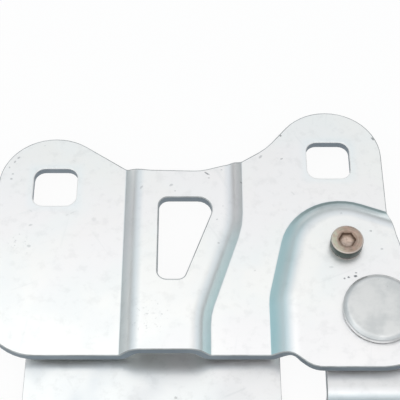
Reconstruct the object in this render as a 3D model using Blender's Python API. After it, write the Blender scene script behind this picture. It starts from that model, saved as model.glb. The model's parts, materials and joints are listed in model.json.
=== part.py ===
"""Bonnet hinge: a bonnet leaf and a body leaf of pressed sheet steel, joined by one pivot rivet.

Sizes are in millimetres and angles in degrees. The meshes are in metres, +Z up. The part lies on
the back of its body leaf, and its origin is under the middle of its box.
X runs along the bonnet edge, and Y runs from the body up to the bonnet.
"""

import math

import bmesh
import bpy
import numpy as np
from mathutils import Vector
from mathutils.geometry import delaunay_2d_cdt

# Sheet and clearances
SHEET = 3.0
CLEARANCE = 0.3
CREASE_RADIUS = 0.8

# Bonnet leaf, plan
LEFT_HOLE = (-46.7, 5.0)
RIGHT_HOLE = (42.0, 15.4)
HOLE_SIDE = 14.1
HOLE_CORNER = 3.5
EAR_RADIUS = 17.5
LEFT_EAR_OFFSET = (-0.5, 1.3)
RIGHT_EAR_OFFSET = (-0.1, 1.7)
TOE_REACH = 2.7
TOE_RISE = 3.0
TOE_RADIUS = 20.0
VALLEY_Y = 8.4
VALLEY_RISE = 0.5
VALLEY_LEFT_INSET = 4.5
VALLEY_RIGHT_INSET = 13.6
VALLEY_RADIUS = 14.0
KNEE_INSET = 4.9
KNEE_RISE = 2.5
KNEE_TOP_RISE = 6.7
KNEE_RADIUS = 5.0
WAIST_Y = -6.0
WAIST_STEP = 2.0
WAIST_RADIUS = 25.0
SKIRT_REACH = 17.3
SKIRT_RISE = 4.3
SKIRT_RADIUS = 12.0
PLATE_BOTTOM = -59.5
LEFT_BOTTOM = -54.0
LEFT_FLARE = 1.4
LEFT_CORNER = 17.0
STEP_LEFT = 26.0
STEP_WIDTH = 7.0
STEP_RADIUS = 8.0
RELIEF_HEIGHT = 4.5

# Channel and its cut-out
CHANNEL_LEFT = -24.2
CHANNEL_WIDTH = 38.1
CHANNEL_NARROW = 27.8
CHANNEL_WALL_ANGLE = 50.0
CHANNEL_SHOULDER = 6.0
CHANNEL_BEND_Y = -9.6
CHANNEL_BEND_RADIUS = 30.0
CHANNEL_FOOT_Y = -41.0
CHANNEL_FOOT_RADIUS = 20.0
CUTOUT_TOP = -1.7
CUTOUT_BOTTOM = -30.7
CUTOUT_LEFT_INSET = 11.2
CUTOUT_TOP_WIDTH = 18.7
CUTOUT_FOOT_WIDTH = 8.1
CUTOUT_LEFT_RADIUS = 3.0
CUTOUT_FOOT_RADIUS = 2.5
CUTOUT_POINT_RADIUS = 4.5

# Pivot
PIVOT = (53.3, -41.3)
PIN_DIAMETER = 10.0
RIVET_HEAD_DIAMETER = 22.0
RIVET_HEAD = 2.5
TAIL_DIAMETER = 15.0
TAIL = 2.1
TAIL_WASHER_DIAMETER = 20.0
TAIL_WASHER = 0.8
BUSH_WALL = 1.0
BUSH_FLANGE = 0.9
BUSH_FLANGE_DIAMETER = 24.0

# Pivot pad, from the pivot and from the stop
PAD_WALL_ANGLE = 38.0
PAD_SHOULDER = 8.0
PAD_REACH = 32.6
PAD_BEND_RISE = 6.3
PAD_POINT_REACH = 14.7
PAD_POINT_RISE = 25.6
PAD_RIGHT_DROP = 7.6
PAD_RADIUS = 20.0

# Stop
STOP_DIRECTION = 110.7
OPEN_ANGLE = 60.0
SCREW_DIAMETER = 6.0
SCREW_HEAD_DIAMETER = 10.0
SCREW_HEAD = 3.2
SOCKET = 5.0
SOCKET_DEPTH = 2.1
SLEEVE_WALL = 1.5
RING_DIAMETER = 14.0
NUT_ACROSS_FLATS = 10.0
NUT_FLANGE_DIAMETER = 12.5
NUT_FLANGE = 1.0
NUT = 3.3

# Body leaf
HUB_RADIUS = 16.4
LOBE_REACH = 29.5
LOBE_SPREAD = 47.0
LOBE_TIP = 5.0
LOBE_HEEL = 8.0
LOBE_ROOT = 2.5
SMALL_LOBE_REACH = 25.2
SMALL_LOBE_SPREAD = 21.0
SMALL_LOBE_TIP = 1.6
FOOT_LEFT = -52.0
FOOT_RIGHT = 72.0
FOOT_TOP = -36.0
FOOT_CORNER = 12.0
FOOT_RIGHT_CORNER = 14.0
BODY_WALL_ANGLE = 45.0
BODY_SHOULDER = 5.0
NECK_LEFT_GAP = 13.0
NECK_CORNER = 10.0
NECK_ROOT = 5.0
JOGGLE_Y = -71.0
FOOT_BOTTOM = -95.0
LIP_RADIUS = 3.0
LIP_HEIGHT = 9.0
LIP_CORNER = 6.0
SLOT_LENGTH = 15.0
SLOT_WIDTH = 9.0
SLOT_Y = -82.5
SLOT_SPACING = 72.0
BEAD_LENGTH = 46.0
BEAD_WIDTH = 17.0
BEAD_HEIGHT = 2.0

# Rest buffer
BUFFER_INSET = 22.0
BUFFER_DROP = 10.0
BUFFER_DIAMETER = 12.0
BUFFER_STEM = 6.0

MM = 0.001
ROUND_STEPS = 48
CREASE_STEPS = 2
SHOULDER_STEPS = 6
FAR = 120.0

# Levels above the body, worked out along the pivot
TAIL_Z = CLEARANCE
WASHER_Z = TAIL_Z + TAIL + CLEARANCE
REAR_BUSH_Z = WASHER_Z + TAIL_WASHER + CLEARANCE
HUB_Z = REAR_BUSH_Z + BUSH_FLANGE + CLEARANCE
FRONT_BUSH_Z = HUB_Z + SHEET + CLEARANCE
PAD_Z = FRONT_BUSH_Z + BUSH_FLANGE + CLEARANCE
PAD_TOP_Z = PAD_Z + SHEET
EAR_TOP_Z = PAD_TOP_Z - RELIEF_HEIGHT
HEAD_Z = PAD_TOP_Z + CLEARANCE

# The stop stands beside the hub, so that its ring clears the hub's edge
STOP_REACH = HUB_RADIUS + CLEARANCE + RING_DIAMETER / 2
STOP = (
    PIVOT[0] + STOP_REACH * math.cos(math.radians(STOP_DIRECTION)),
    PIVOT[1] + STOP_REACH * math.sin(math.radians(STOP_DIRECTION)),
)

BUFFER = (FOOT_LEFT + BUFFER_INSET, FOOT_TOP - BUFFER_DROP)

# Bores, each from what passes through it
PIN_BORE = PIN_DIAMETER + 2 * CLEARANCE
BUSH_DIAMETER = PIN_BORE + 2 * BUSH_WALL
HUB_BORE = BUSH_DIAMETER + 2 * CLEARANCE
SCREW_BORE = SCREW_DIAMETER + 2 * CLEARANCE
SLEEVE_DIAMETER = SCREW_BORE + 2 * SLEEVE_WALL

# Name: colour, metallic, roughness
FINISHES = {
    "zinc_plate": ((0.86, 0.88, 0.88), 0.75, 0.42),
    "galvanised": ((0.62, 0.65, 0.66), 0.8, 0.48),
    "rivet_steel": ((0.58, 0.58, 0.58), 0.85, 0.35),
    "washer_steel": ((0.70, 0.71, 0.72), 0.85, 0.4),
    "bronze": ((0.55, 0.42, 0.26), 0.85, 0.4),
    "burnt_screw": ((0.42, 0.36, 0.31), 0.7, 0.45),
    "rubber": ((0.035, 0.035, 0.037), 0.0, 0.8),
}


def clear_scene():
    for old in list(bpy.data.objects):
        bpy.data.objects.remove(old)


def unit(angle):
    return np.array([math.cos(math.radians(angle)), math.sin(math.radians(angle))])


def arc(centre, radius, start, end, steps):
    """Points from one angle to the other, both included."""
    return [tuple(np.array(centre) + radius * unit(a)) for a in np.linspace(start, end, steps + 1)]


def circle(centre, diameter, steps=ROUND_STEPS):
    return arc(centre, diameter / 2, 0, 360, steps)[:-1]


def polygon(centre, across_flats, sides=6):
    radius = across_flats / 2 / math.cos(math.pi / sides)
    return arc(centre, radius, 0, 360, sides)[:-1]


def rounded(corners, step=7.5):
    """The closed outline through corners (x, y, radius), each rounded by a tangent arc."""
    points = []
    spots = [np.array(corner[:2], float) for corner in corners]
    for i, spot in enumerate(spots):
        radius = corners[i][2]
        if radius <= 0:
            points.append(tuple(spot))
            continue
        before = spots[i - 1] - spot
        after = spots[(i + 1) % len(spots)] - spot
        before /= np.linalg.norm(before)
        after /= np.linalg.norm(after)
        half = math.acos(np.clip(before @ after, -1, 1)) / 2
        middle = before + after
        centre = spot + middle / np.linalg.norm(middle) * radius / math.sin(half)
        first = spot + before * radius / math.tan(half) - centre
        last = spot + after * radius / math.tan(half) - centre
        start = math.degrees(math.atan2(first[1], first[0]))
        turn = math.degrees(math.atan2(last[1], last[0])) - start
        turn = (turn + 180) % 360 - 180
        points += arc(centre, radius, start, start + turn, max(2, round(abs(turn) / step)))
    return points


def inset(corners, distance):
    """The corners of the outline that lies this far inside a counterclockwise one."""
    moved = []
    for i, (x, y, radius) in enumerate(corners):
        back = np.array([x, y]) - np.array(corners[i - 1][:2])
        ahead = np.array(corners[(i + 1) % len(corners)][:2]) - np.array([x, y])
        back /= np.linalg.norm(back)
        ahead /= np.linalg.norm(ahead)
        inward = np.array([-back[1] - ahead[1], back[0] + ahead[0]])
        inward /= 1 + back @ ahead
        turns_left = back[0] * ahead[1] - back[1] * ahead[0] > 0
        new_radius = radius - distance if turns_left else radius + distance
        moved.append((*(np.array([x, y]) + distance * inward), max(new_radius, 0) if radius else 0))
    return moved


def inside(points, loop):
    """Whether each point lies inside the closed loop."""
    x, y = np.array(points, float).T
    ax, ay = np.array(loop, float).T
    bx, by = np.roll(ax, -1), np.roll(ay, -1)
    spans = (ay[None] > y[:, None]) != (by[None] > y[:, None])
    rise = np.where(by == ay, 1, by - ay)
    cross = ax + (y[:, None] - ay) * (bx - ax) / rise
    return (spans & (x[:, None] < cross)).sum(axis=1) % 2 == 1


def depth_inside(points, loop):
    """How far inside the counterclockwise loop each point lies, and the way inwards there."""
    points = np.array(points, float)
    starts = np.array(loop, float)
    sides = np.roll(starts, -1, axis=0) - starts
    lengths = np.linalg.norm(sides, axis=1)
    starts, sides, lengths = starts[lengths > 1e-9], sides[lengths > 1e-9], lengths[lengths > 1e-9]
    along = ((points[:, None] - starts) * sides).sum(axis=2) / lengths**2
    nearest = starts + np.clip(along, 0, 1)[..., None] * sides
    gaps = np.linalg.norm(points[:, None] - nearest, axis=2)
    best = gaps.argmin(axis=1)
    inward = np.stack([-sides[:, 1], sides[:, 0]], axis=1) / lengths[:, None]
    sign = np.where(inside(points, loop), 1, -1)
    return sign * gaps.min(axis=1), inward[best]


def press_profile(height, wall_angle, shoulder_radius):
    """The wall of a pressed relief as (distance in from its crease, height), crease to shoulder."""
    angle = math.radians(wall_angle)
    turned_height = (CREASE_RADIUS + shoulder_radius) * (1 - math.cos(angle))
    if turned_height > height:
        angle = math.acos(1 - height / (CREASE_RADIUS + shoulder_radius))
        turned_height = height
    straight = (height - turned_height) / math.tan(angle)
    crease = [
        (CREASE_RADIUS * math.sin(a), CREASE_RADIUS * (1 - math.cos(a)))
        for a in np.linspace(0, angle, CREASE_STEPS + 1)
    ]
    top = crease[-1][0] + straight + shoulder_radius * math.sin(angle)
    shoulder = [
        (top - shoulder_radius * math.sin(a), height - shoulder_radius * (1 - math.cos(a)))
        for a in np.linspace(angle, 0, SHOULDER_STEPS + 1)
    ]
    if straight < 1e-6:
        shoulder = shoulder[1:]
    return np.array(crease + shoulder)


def offset_profile(profile, distance):
    """The profile moved this far to its underside, so that the sheet keeps its thickness."""
    runs = np.diff(np.vstack([profile[0] - [1, 0], profile, profile[-1] + [1, 0]]), axis=0)
    runs /= np.linalg.norm(runs, axis=1)[:, None]
    down = np.stack([runs[:, 1], -runs[:, 0]], axis=1)
    mitre = down[:-1] + down[1:]
    mitre /= (1 + (down[:-1] * down[1:]).sum(axis=1))[:, None]
    return profile + distance * mitre


def triangulate(loops, outline, holes):
    """Triangles that fill the outline, less its holes, with every loop among their edges."""
    points = []
    edges = []
    for loop in loops:
        first = len(points)
        points += [Vector(point) for point in loop]
        edges += [(first + i, first + (i + 1) % len(loop)) for i in range(len(loop))]
    spots, _, faces, *_ = delaunay_2d_cdt(points, edges, [], 0, 1e-5, False)
    spots = np.array([tuple(spot) for spot in spots])
    faces = np.array(faces)
    centres = spots[faces].mean(axis=1)
    kept = inside(centres, outline)
    for hole in holes:
        kept &= ~inside(centres, hole)
    used, faces = np.unique(faces[kept], return_inverse=True)
    return spots[used], faces.reshape(-1, 3)


def sheet_surfaces(spots, reliefs):
    """The top and the underside of a sheet over the flat spots, raised inside each relief."""
    top = np.column_stack([spots, np.zeros(len(spots))])
    underside = top - [0, 0, SHEET]
    for corners, *wall in reliefs:
        profile = press_profile(*wall)
        under = offset_profile(profile, SHEET)
        depth, inward = depth_inside(spots, rounded(corners, 1.0))
        reach = profile[:, 0]
        raised = depth > -1e-3
        depth = np.clip(depth, 0, reach[-1])
        top_z = np.interp(depth, reach, profile[:, 1])
        shift = np.interp(depth, reach, under[:, 0] - reach)
        under_z = np.interp(depth, reach, under[:, 1])
        top[raised, 2] = top_z[raised]
        underside[raised, :2] += (shift[:, None] * inward)[raised]
        underside[raised, 2] = under_z[raised]
    return top, underside


def fold_up(points, line, radius):
    """The points below a line across the sheet, bent up along it."""
    folded = points.copy()
    below = points[:, 1] < line
    beyond = line - points[below, 1]
    turn = np.minimum(beyond / radius, math.pi / 2)
    reach = radius - points[below, 2]
    folded[below, 1] = line - reach * np.sin(turn)
    folded[below, 2] = radius - reach * np.cos(turn) + np.maximum(beyond - radius * math.pi / 2, 0)
    return folded


def fold_lines(line, radius, steps=4):
    """Thin loops across the sheet, so that the fold has facets of its own."""
    loops = []
    for turn in np.linspace(0, math.pi / 2, steps + 1):
        y = line - radius * turn
        loops.append([(-FAR, y), (FAR, y), (FAR, y + FAR * 2), (-FAR, y + FAR * 2)])
    return loops


def add_object(name, mesh, finish, origin):
    """Link the mesh as an object whose origin is this place, given in millimetres."""
    place = Vector(origin) * MM
    for vertex in mesh.vertices:
        vertex.co -= place
    obj = bpy.data.objects.new(name, mesh)
    obj.location = place
    bpy.context.scene.collection.objects.link(obj)
    if finish:
        obj.data.materials.append(material(name, finish))
    return obj


def material(name, finish):
    colour, metallic, roughness = FINISHES[finish]
    made = bpy.data.materials.new(f"{name}_{finish}")
    made.use_nodes = True
    shader = made.node_tree.nodes["Principled BSDF"]
    shader.inputs["Base Color"].default_value = (*colour, 1)
    shader.inputs["Metallic"].default_value = metallic
    shader.inputs["Roughness"].default_value = roughness
    return made


def finished_mesh(name, points, faces, smooth_below):
    """A mesh with its faces pointing out, smooth where they meet at less than the angle."""
    mesh = bpy.data.meshes.new(name)
    mesh.from_pydata([tuple(float(c) * MM for c in point) for point in points], [], faces)
    shape = bmesh.new()
    shape.from_mesh(mesh)
    bmesh.ops.recalc_face_normals(shape, faces=shape.faces)
    shape.to_mesh(mesh)
    shape.free()
    mesh.shade_smooth()
    mesh.set_sharp_from_angle(angle=math.radians(smooth_below))
    return mesh


def close_sheet(name, top, underside, faces):
    """One closed solid from the two surfaces of a sheet and the rim between them."""
    count = len(top)
    sides = [(int(a), int(b)) for tri in faces for a, b in zip(tri, np.roll(tri, -1))]
    known = set(sides)
    rim = [(a, b, b + count, a + count) for a, b in sides if (b, a) not in known]
    front = [tuple(int(i) for i in tri) for tri in faces]
    back = [tuple(int(i) + count for i in tri[::-1]) for tri in faces]
    return finished_mesh(name, np.vstack([top, underside]), front + back + rim, 32)


def pressed_sheet(name, finish, outline, holes, reliefs, level, origin, fold=None):
    """A leaf of the hinge. The level is the height of its flat top above the body."""
    loops = [outline, *holes]
    for corners, *wall in reliefs:
        loops += [rounded(inset(corners, depth)) for depth in press_profile(*wall)[:, 0]]
    if fold:
        loops += fold_lines(*fold)
    spots, faces = triangulate(loops, outline, holes)
    top, underside = sheet_surfaces(spots, reliefs)
    if fold:
        top = fold_up(top, *fold)
        underside = fold_up(underside, *fold)
    top[:, 2] += level
    underside[:, 2] += level
    return add_object(name, close_sheet(name, top, underside, faces), finish, origin)


def turned(name, finish, centre, profile, steps=ROUND_STEPS):
    """A solid of revolution about the upright axis through the centre, from a closed (r, z) profile."""
    points = []
    rings = []
    for radius, z in profile:
        first = len(points)
        count = steps if radius > 0 else 1
        for i in range(count):
            x, y = np.array(centre) + radius * unit(360 * i / steps)
            points.append((x, y, z))
        rings.append([first + i % count for i in range(steps + 1)])
    faces = []
    for one, two in zip(rings, rings[1:] + rings[:1]):
        for i in range(steps):
            face = list(dict.fromkeys([one[i], one[i + 1], two[i + 1], two[i]]))
            if len(face) > 2:
                faces.append(face)
    mesh = finished_mesh(name, points, faces, 40)
    return add_object(name, mesh, finish, (*centre, 0))


def prism(name, finish, centre, loop, bottom, top):
    """An upright prism on the loop, closed at both ends."""
    count = len(loop)
    points = [(x, y, bottom) for x, y in loop] + [(x, y, top) for x, y in loop]
    faces = [tuple(range(count)), tuple(range(count, 2 * count))]
    faces += [(i, (i + 1) % count, count + (i + 1) % count, count + i) for i in range(count)]
    return add_object(name, finished_mesh(name, points, faces, 30), finish, (*centre, 0))


def tube(inner, outer, bottom, top, chamfer):
    """The (r, z) profile of a ring with its outer edges broken."""
    return [
        (inner / 2, bottom),
        (outer / 2 - chamfer, bottom),
        (outer / 2, bottom + chamfer),
        (outer / 2, top - chamfer),
        (outer / 2 - chamfer, top),
        (inner / 2, top),
    ]


def boolean(obj, cutter, operation):
    modifier = obj.modifiers.new(operation.lower(), "BOOLEAN")
    modifier.object = cutter
    modifier.operation = operation
    modifier.solver = "EXACT"
    cutter.hide_render = True
    cutter.display_type = "WIRE"


def square_hole(centre):
    x, y = centre
    half = HOLE_SIDE / 2
    signs = ((-1, -1), (1, -1), (1, 1), (-1, 1))
    return rounded([(x + sx * half, y + sy * half, HOLE_CORNER) for sx, sy in signs], 15)


def slot(centre, length, width):
    x, y = centre
    reach = (length - width) / 2
    return arc((x + reach, y), width / 2, -90, 90, 12) + arc((x - reach, y), width / 2, 90, 270, 12)


def flank_corner(centre, foot, side):
    """Where the level tangent over an ear's circle meets the tangent from a foot beside it."""
    reach = np.array(foot) - np.array(centre)
    direction = math.degrees(math.atan2(reach[1], reach[0]))
    touch = direction + side * math.degrees(math.acos(EAR_RADIUS / np.linalg.norm(reach)))
    half = (90 - touch) / 2
    corner = np.array(centre) + EAR_RADIUS / math.cos(math.radians(half)) * unit(90 - half)
    return (*corner, EAR_RADIUS)


def bonnet_outline():
    """The bonnet leaf's edge, from its left ear clockwise."""
    left_ear = np.add(LEFT_HOLE, LEFT_EAR_OFFSET)
    right_ear = np.add(RIGHT_HOLE, RIGHT_EAR_OFFSET)
    left, left_top = left_ear + [-EAR_RADIUS, EAR_RADIUS]
    right, right_top = right_ear + EAR_RADIUS
    valley = (CHANNEL_LEFT + VALLEY_LEFT_INSET, VALLEY_Y + VALLEY_RISE)
    toe = right_ear + [-EAR_RADIUS - TOE_REACH, TOE_RISE]
    channel_right = CHANNEL_LEFT + CHANNEL_WIDTH
    skirt = PIVOT[0] + SKIRT_REACH
    return rounded(
        [
            (left, left_top, EAR_RADIUS),
            flank_corner(left_ear, valley, 1),
            (*valley, VALLEY_RADIUS),
            (channel_right - VALLEY_RIGHT_INSET, VALLEY_Y, VALLEY_RADIUS),
            (channel_right - KNEE_INSET, VALLEY_Y + KNEE_RISE, KNEE_RADIUS),
            (channel_right, VALLEY_Y + KNEE_TOP_RISE, KNEE_RADIUS),
            (*toe, TOE_RADIUS),
            flank_corner(right_ear, toe, -1),
            (right, right_top, EAR_RADIUS),
            (right, WAIST_Y, WAIST_RADIUS),
            (right + WAIST_STEP, STOP[1], WAIST_RADIUS),
            (skirt, PIVOT[1] + SKIRT_RISE, SKIRT_RADIUS),
            (skirt, PLATE_BOTTOM, SKIRT_REACH),
            (STEP_LEFT + STEP_WIDTH, PLATE_BOTTOM, STEP_RADIUS),
            (STEP_LEFT, LEFT_BOTTOM, STEP_RADIUS),
            (left - LEFT_FLARE, LEFT_BOTTOM, LEFT_CORNER),
        ]
    )


def channel_corners():
    """The crease round the channel, which runs off the leaf above and below."""
    left = CHANNEL_LEFT
    wide = left + CHANNEL_WIDTH
    narrow = left + CHANNEL_NARROW
    return [
        (left, -FAR, 0),
        (narrow, -FAR, 0),
        (narrow, CHANNEL_FOOT_Y, CHANNEL_FOOT_RADIUS),
        (wide, CHANNEL_BEND_Y, CHANNEL_BEND_RADIUS),
        (wide, FAR, 0),
        (left, FAR, 0),
    ]


def pad_corners():
    """The crease round the pivot pad, which runs off the leaf to the right and below."""
    left = PIVOT[0] - PAD_REACH
    return [
        (left, -FAR, 0),
        (FAR, -FAR, 0),
        (FAR, STOP[1] - PAD_RIGHT_DROP, 0),
        (STOP[0] - PAD_POINT_REACH, STOP[1] + PAD_POINT_RISE, PAD_RADIUS),
        (left, PIVOT[1] + PAD_BEND_RISE, PAD_RADIUS),
    ]


def cutout():
    """The right trapezoid in the floor of the channel."""
    left = CHANNEL_LEFT + CUTOUT_LEFT_INSET
    return rounded(
        [
            (left, CUTOUT_BOTTOM, CUTOUT_LEFT_RADIUS),
            (left + CUTOUT_FOOT_WIDTH, CUTOUT_BOTTOM, CUTOUT_FOOT_RADIUS),
            (left + CUTOUT_TOP_WIDTH, CUTOUT_TOP, CUTOUT_POINT_RADIUS),
            (left, CUTOUT_TOP, CUTOUT_LEFT_RADIUS),
        ],
        15,
    )


def bonnet_plate():
    holes = [
        square_hole(LEFT_HOLE),
        square_hole(RIGHT_HOLE),
        cutout(),
        circle(PIVOT, PIN_BORE),
        circle(STOP, SCREW_BORE, 32),
    ]
    reliefs = [
        (channel_corners(), RELIEF_HEIGHT, CHANNEL_WALL_ANGLE, CHANNEL_SHOULDER),
        (pad_corners(), RELIEF_HEIGHT, PAD_WALL_ANGLE, PAD_SHOULDER),
    ]
    return pressed_sheet(
        "bonnet_plate", "zinc_plate", bonnet_outline(), holes, reliefs, EAR_TOP_Z, (*PIVOT, 0)
    )


def stop_flanks():
    """The directions from the pivot of the flanks that the stop ring meets, open and closed."""
    touch = math.degrees(math.asin((RING_DIAMETER / 2 + CLEARANCE) / STOP_REACH))
    return STOP_DIRECTION - OPEN_ANGLE - touch, STOP_DIRECTION + touch


def lobe_root(flank, side):
    """The fillet from the hub to a radial flank, with the hub on this side of it."""
    lean = side * math.degrees(math.asin(LOBE_ROOT / (HUB_RADIUS + LOBE_ROOT)))
    centre = np.array(PIVOT) + (HUB_RADIUS + LOBE_ROOT) * unit(flank + lean)
    ends = sorted([flank + lean + 180, flank + 180 + side * 90])
    return flank + lean, [(x, y, 0) for x, y in arc(centre, LOBE_ROOT, *ends, 6)]


def body_outline():
    """The body leaf's edge: the hub, its two lobes, the foot and its folded lip, flat."""
    pivot = np.array(PIVOT)
    opened, closed = stop_flanks()
    behind = closed + SMALL_LOBE_SPREAD
    neck = PIVOT[0] - HUB_RADIUS
    tab = neck - NECK_LEFT_GAP
    edge = FOOT_BOTTOM - LIP_RADIUS * math.pi / 2 - LIP_HEIGHT
    first, rise = lobe_root(behind, 1)
    second, fall = lobe_root(closed, -1)
    third, climb = lobe_root(opened, 1)
    heel_side = [(x, y, 0) for x, y in arc(PIVOT, HUB_RADIUS, 180, first, 6)]
    crown = [(x, y, 0) for x, y in arc(PIVOT, HUB_RADIUS, second, third, 16)]
    return rounded(
        [
            (FOOT_LEFT, edge, LIP_CORNER),
            (FOOT_LEFT, FOOT_TOP, FOOT_CORNER),
            (tab, FOOT_TOP, NECK_CORNER),
            (tab, JOGGLE_Y - 1, NECK_ROOT),
            (neck, JOGGLE_Y - 1, NECK_ROOT),
            *heel_side,
            *rise,
            (*(pivot + SMALL_LOBE_REACH * unit(behind)), SMALL_LOBE_TIP),
            (*(pivot + SMALL_LOBE_REACH * unit(closed)), SMALL_LOBE_TIP),
            *fall,
            *crown,
            *climb,
            (*(pivot + LOBE_REACH * unit(opened)), LOBE_TIP),
            (*(pivot + LOBE_REACH * unit(opened - LOBE_SPREAD)), LOBE_HEEL),
            (FOOT_RIGHT, JOGGLE_Y, FOOT_RIGHT_CORNER),
            (FOOT_RIGHT, edge, LIP_CORNER),
        ]
    )


def slot_centres():
    middle = (FOOT_LEFT + FOOT_RIGHT) / 2
    return [(middle + side * SLOT_SPACING / 2, SLOT_Y) for side in (-1, 1)]


def body_plate():
    middle = (FOOT_LEFT + FOOT_RIGHT) / 2
    across, along = BEAD_WIDTH / 2, BEAD_LENGTH / 2
    bead = [
        (middle + sx * along, SLOT_Y + sy * across, 0.99 * across)
        for sx, sy in ((-1, -1), (1, -1), (1, 1), (-1, 1))
    ]
    step = PIVOT[0] - HUB_RADIUS - NECK_LEFT_GAP + 1
    joggle = [(step, JOGGLE_Y, 0), (FAR, JOGGLE_Y, 0), (FAR, FAR, 0), (step, FAR, 0)]
    holes = [circle(PIVOT, HUB_BORE), circle(BUFFER, BUFFER_STEM + 2 * CLEARANCE, 32)]
    holes += [slot(centre, SLOT_LENGTH, SLOT_WIDTH) for centre in slot_centres()]
    return pressed_sheet(
        "body_plate",
        "galvanised",
        body_outline(),
        holes,
        [(joggle, HUB_Z, BODY_WALL_ANGLE, BODY_SHOULDER), (bead, BEAD_HEIGHT, BODY_WALL_ANGLE, BODY_SHOULDER)],
        SHEET,
        (*slot_centres()[0], 0),
        (FOOT_BOTTOM, LIP_RADIUS),
    )


def pivot_rivet():
    head = RIVET_HEAD_DIAMETER / 2
    tail = TAIL_DIAMETER / 2
    pin = PIN_DIAMETER / 2
    crown = HEAD_Z + RIVET_HEAD
    profile = [
        (0, TAIL_Z),
        (tail - 2, TAIL_Z),
        (tail - 0.6, TAIL_Z + 0.6),
        (tail, TAIL_Z + TAIL / 2),
        (tail, TAIL_Z + TAIL),
        (pin, TAIL_Z + TAIL),
        (pin, HEAD_Z),
        (head, HEAD_Z),
        (head, crown - 0.9),
        (head - 0.3, crown - 0.35),
        (head - 0.9, crown),
        (0, crown),
    ]
    return turned("pivot_rivet", "rivet_steel", PIVOT, profile)


def flanged_bush(name, flange_z, shank_z, end_z):
    """A bush in the hub bore: its flange lies on one face of the hub, and its shank reaches to end_z."""
    bore = PIN_BORE / 2
    shank = BUSH_DIAMETER / 2
    flange = BUSH_FLANGE_DIAMETER / 2
    profile = [
        (bore, flange_z),
        (flange, flange_z),
        (flange, shank_z),
        (shank, shank_z),
        (shank, end_z),
        (bore, end_z),
    ]
    return turned(name, "bronze", PIVOT, profile)


def bushes():
    middle = HUB_Z + SHEET / 2
    front_top = FRONT_BUSH_Z + BUSH_FLANGE
    flanged_bush("front_bush", front_top, FRONT_BUSH_Z, middle + CLEARANCE / 2)
    flanged_bush("rear_bush", REAR_BUSH_Z, REAR_BUSH_Z + BUSH_FLANGE, middle - CLEARANCE / 2)


def tail_washer():
    profile = tube(PIN_BORE, TAIL_WASHER_DIAMETER, WASHER_Z, WASHER_Z + TAIL_WASHER, 0.2)
    return turned("tail_washer", "washer_steel", PIVOT, profile)


def stop_levels():
    """The heights of the sleeve's foot and of the nut's under face."""
    sleeve = HUB_Z - CLEARANCE / 2
    return sleeve, sleeve - CLEARANCE - NUT


def stop_screw():
    head = SCREW_HEAD_DIAMETER / 2
    crown = HEAD_Z + SCREW_HEAD
    end = stop_levels()[1] - CLEARANCE
    profile = [
        (0, end),
        (SCREW_DIAMETER / 2 - 0.5, end),
        (SCREW_DIAMETER / 2, end + 0.5),
        (SCREW_DIAMETER / 2, HEAD_Z),
        (head, HEAD_Z),
        (head, crown - 0.4),
        (head - 0.4, crown),
        (0, crown),
    ]
    screw = turned("stop_screw", "burnt_screw", STOP, profile, 40)
    loop = polygon(STOP, SOCKET)
    key = prism("stop_screw_socket", None, STOP, loop, crown - SOCKET_DEPTH, crown + 1)
    boolean(screw, key, "DIFFERENCE")
    return screw


def stop_sleeve():
    profile = tube(SCREW_BORE, SLEEVE_DIAMETER, stop_levels()[0], PAD_Z - CLEARANCE, 0.3)
    return turned("stop_sleeve", "washer_steel", STOP, profile, 40)


def stop_ring():
    bottom = stop_levels()[0] + CLEARANCE
    inner = SLEEVE_DIAMETER + 2 * CLEARANCE
    profile = tube(inner, RING_DIAMETER, bottom, PAD_Z - 2 * CLEARANCE, 0.5)
    return turned("stop_ring", "rubber", STOP, profile, 40)


def stop_nut():
    """A flange nut: a hexagon cut from a turned blank, its flange towards the sleeve."""
    bottom = stop_levels()[1]
    top = bottom + NUT
    flats = NUT_ACROSS_FLATS / 2
    corner = flats / math.cos(math.pi / 6)
    bore = SCREW_BORE / 2
    flange = NUT_FLANGE_DIAMETER / 2
    blank = [
        (bore, bottom + 0.4),
        (bore + 0.4, bottom),
        (flats - 0.2, bottom),
        (corner, bottom + 0.6),
        (corner, top - NUT_FLANGE),
        (flange - 0.2, top - 0.8 * NUT_FLANGE),
        (flange, top - 0.5 * NUT_FLANGE),
        (flange, top),
        (bore, top),
    ]
    nut = turned("stop_nut", "washer_steel", STOP, blank, 48)
    waste = ring_outside("stop_nut_flats", bottom - 1, top - NUT_FLANGE)
    boolean(nut, waste, "DIFFERENCE")
    return nut


def ring_outside(name, bottom, top):
    """What is milled off round the nut's hexagon."""
    hexagon = polygon(STOP, NUT_ACROSS_FLATS)
    rim = circle(STOP, NUT_FLANGE_DIAMETER + 4, 24)
    spots, faces = triangulate([rim, hexagon], rim, [hexagon])
    high = np.column_stack([spots, np.full(len(spots), top)])
    low = np.column_stack([spots, np.full(len(spots), bottom)])
    return add_object(name, close_sheet(name, high, low, faces), None, (*STOP, 0))


def rest_buffer():
    """A rubber pad under the bonnet leaf's back, its stem through the body leaf."""
    head = BUFFER_DIAMETER / 2
    stem = BUFFER_STEM / 2
    seat = SHEET + CLEARANCE
    crown = EAR_TOP_Z - SHEET - CLEARANCE
    edge = (crown - seat) / 3
    profile = [
        (0, CLEARANCE),
        (stem - edge, CLEARANCE),
        (stem, CLEARANCE + edge),
        (stem, seat),
        (head - edge, seat),
        (head, seat + edge),
        (head, crown - edge),
        (head - edge, crown),
        (0, crown),
    ]
    return turned("rest_buffer", "rubber", BUFFER, profile, 40)


def group(name, members):
    """Parent the members to an empty on the pivot axis, without moving them."""
    axis = bpy.data.objects.new(name, None)
    axis.location = Vector((*PIVOT, 0)) * MM
    bpy.context.scene.collection.objects.link(axis)
    for member in members:
        member.parent = axis
        member.location -= axis.location
    return axis


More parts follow.
